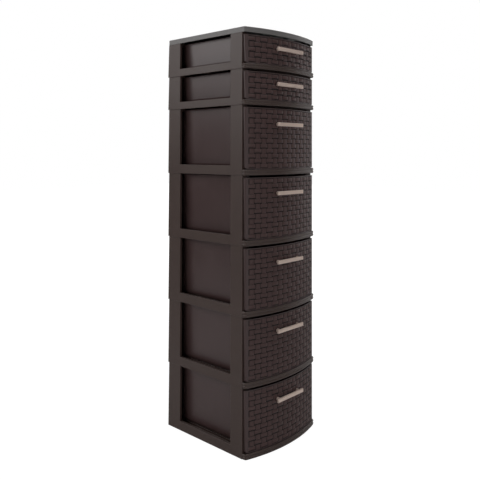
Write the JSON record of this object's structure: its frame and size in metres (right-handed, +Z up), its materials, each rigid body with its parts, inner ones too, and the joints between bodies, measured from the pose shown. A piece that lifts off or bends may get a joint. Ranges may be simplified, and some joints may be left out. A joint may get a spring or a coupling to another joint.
{
  "type": "drawer tower",
  "caption": "Tall narrow drawer tower of stacked plastic frames with shallow and deep slide-out drawers, bowed woven fronts, bar handles, open sides and a flat cover.",
  "frame": {"origin": "middle of the footprint's outline box, handles included, at floor level", "axes": "+Z up, -Y towards the drawer fronts, +X to the right as seen from the front"},
  "size_m": [0.322, 0.371, 1.22],
  "materials": {
    "cover": "fine matt grain",
    "frame": "satin",
    "drawer": "satin",
    "handle": "satin champagne"
  },
  "bodies": {
    "tower": {"top_cover": "cover", "tier_frame_1": "frame", "tier_frame_2": "frame", "tier_frame_3": "frame", "tier_frame_4": "frame", "tier_frame_5": "frame", "tier_frame_6": "frame", "tier_frame_7": "frame"},
    "drawer_1": {"drawer_1": "drawer", "handle_1": "handle"},
    "drawer_2": {"drawer_2": "drawer", "handle_2": "handle"},
    "drawer_3": {"drawer_3": "drawer", "handle_3": "handle"},
    "drawer_4": {"drawer_4": "drawer", "handle_4": "handle"},
    "drawer_5": {"drawer_5": "drawer", "handle_5": "handle"},
    "drawer_6": {"drawer_6": "drawer", "handle_6": "handle"},
    "drawer_7": {"drawer_7": "drawer", "handle_7": "handle"}
  },
  "joints": [
    {"name": "drawer_1_slide", "type": "slide", "parent": "tower", "child": "drawer_1", "axis": [0, -1, 0], "range_m": [0, 0.24]},
    {"name": "drawer_2_slide", "type": "slide", "parent": "tower", "child": "drawer_2", "axis": [0, -1, 0], "range_m": [0, 0.24]},
    {"name": "drawer_3_slide", "type": "slide", "parent": "tower", "child": "drawer_3", "axis": [0, -1, 0], "range_m": [0, 0.24]},
    {"name": "drawer_4_slide", "type": "slide", "parent": "tower", "child": "drawer_4", "axis": [0, -1, 0], "range_m": [0, 0.24]},
    {"name": "drawer_5_slide", "type": "slide", "parent": "tower", "child": "drawer_5", "axis": [0, -1, 0], "range_m": [0, 0.24]},
    {"name": "drawer_6_slide", "type": "slide", "parent": "tower", "child": "drawer_6", "axis": [0, -1, 0], "range_m": [0, 0.24]},
    {"name": "drawer_7_slide", "type": "slide", "parent": "tower", "child": "drawer_7", "axis": [0, -1, 0], "range_m": [0, 0.24]}
  ]
}
